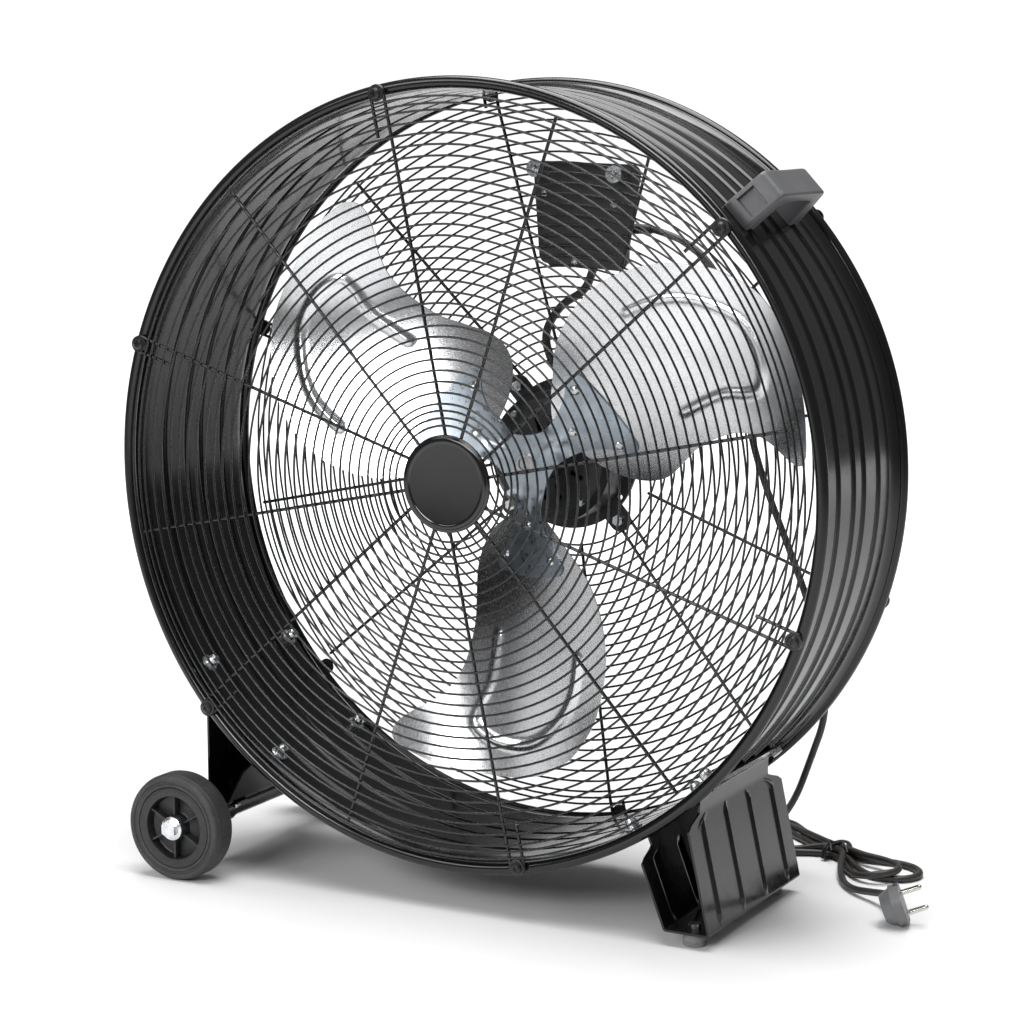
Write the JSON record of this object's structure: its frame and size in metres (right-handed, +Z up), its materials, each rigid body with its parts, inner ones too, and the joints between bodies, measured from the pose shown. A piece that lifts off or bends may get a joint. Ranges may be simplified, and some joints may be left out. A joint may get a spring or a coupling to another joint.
{
  "type": "wheeled drum fan",
  "caption": "Floor-standing drum air mover: pitched blades in a rolled steel drum with wire guards, wheels on one side and a bent sheet leg on the other.",
  "frame": {"origin": "on the floor below the middle of the fan's box, cord left out", "axes": "+Z up, +Y from the front guard to the switch box behind, +X towards the side with the bent leg"},
  "size_m": [0.7415, 0.4562, 0.735],
  "materials": {
    "drum_paint": "gloss black enamel over rolled and pressed sheet steel",
    "wire_paint": "gloss black coated steel wire",
    "black_screw": "black pan-head screws and washers",
    "cap_gloss": "gloss black moulded cap with no marking",
    "zinc": "bright zinc-plated steel",
    "motor_paint": "satin black motor casing",
    "lamination": "dark varnished steel laminations",
    "copper": "varnished copper windings",
    "steel": "turned and ground steel",
    "spider_zinc": "blue-grey zinc-plated sheet",
    "blade_metal": "satin rolled aluminium sheet with a pressed bead",
    "panel_paint": "satin black sheet steel",
    "box_plastic": "fine-textured black plastic",
    "handle_plastic": "textured dark grey plastic",
    "foot_rubber": "mid grey rubber",
    "wheel_plastic": "black plastic wheel centre",
    "tyre_rubber": "solid dark grey rubber tyre",
    "cord_sheath": "brown-black rubber cord sheath",
    "tie_band": "black tie band",
    "plug_plastic": "moulded grey-black plug body",
    "pin_nickel": "nickel-plated pins",
    "earth_sheath": "yellow and green earth wire"
  },
  "bodies": {
    "base": {"drum_shell": "drum_paint", "right_leg": "drum_paint", "left_bracket": "drum_paint", "axle": "drum_paint", "axle_straps": "drum_paint", "front_grille_inner_rings": "wire_paint", "front_grille_outer_rings": "wire_paint", "front_grille_spokes": "wire_paint", "rear_grille_inner_rings": "wire_paint", "rear_grille_outer_rings": "wire_paint", "rear_grille_spokes": "wire_paint", "rim_screws": "black_screw", "rim_washers": "black_screw", "hub_cap": "cap_gloss", "cap_retainer": "zinc", "cap_screw": "zinc", "motor_tie_screws": "zinc", "motor_mount_bolts": "zinc", "switch_screws": "zinc", "switch_spacers": "zinc", "leg_bolts_and_nuts": "zinc", "strap_and_foot_bolts": "zinc", "wheel_bolts": "zinc", "handle_bolts": "zinc", "motor_front_bell": "motor_paint", "motor_rear_bell": "motor_paint", "motor_mount_plate": "motor_paint", "motor_stator": "lamination", "motor_windings": "copper", "motor_bearings": "steel", "switch_plate": "panel_paint", "switch_box": "box_plastic", "rotary_switch": "box_plastic", "capacitor": "box_plastic", "strain_relief": "box_plastic", "handle": "handle_plastic", "feet": "foot_rubber", "power_cord": "cord_sheath", "cord_tail": "cord_sheath", "cord_hank": "cord_sheath", "motor_lead": "cord_sheath", "cord_tie": "tie_band", "plug_body": "plug_plastic", "plug_pins": "pin_nickel", "earth_wire": "earth_sheath"},
    "fan": {"motor_shaft": "steel", "motor_rotor": "lamination", "fan_hub": "steel", "hub_set_screw": "zinc", "fan_spider": "spider_zinc", "blade_1": "blade_metal", "blade_2": "blade_metal", "blade_3": "blade_metal", "blade_rivets": "zinc"},
    "wheel_front": {"wheel_front_hub": "wheel_plastic", "wheel_front_tyre": "tyre_rubber"},
    "wheel_rear": {"wheel_rear_hub": "wheel_plastic", "wheel_rear_tyre": "tyre_rubber"},
    "knob": {"speed_knob": "box_plastic", "knob_shaft": "steel"}
  },
  "joints": [
    {"name": "fan_spin", "type": "hinge", "parent": "base", "child": "fan", "pos_m": [0, 0.02, 0.385], "axis": [0, 1, 0], "continuous": true},
    {"name": "wheel_front_spin", "type": "hinge", "parent": "base", "child": "wheel_front", "pos_m": [-0.273, -0.146, 0.05], "axis": [0, 1, 0], "continuous": true},
    {"name": "wheel_rear_spin", "type": "hinge", "parent": "base", "child": "wheel_rear", "pos_m": [-0.273, 0.106, 0.05], "axis": [0, 1, 0], "continuous": true},
    {"name": "speed_knob_turn", "type": "hinge", "parent": "base", "child": "knob", "pos_m": [0.012, 0.158, 0.602], "axis": [0, 1, 0], "range_deg": [-135, 0]}
  ]
}
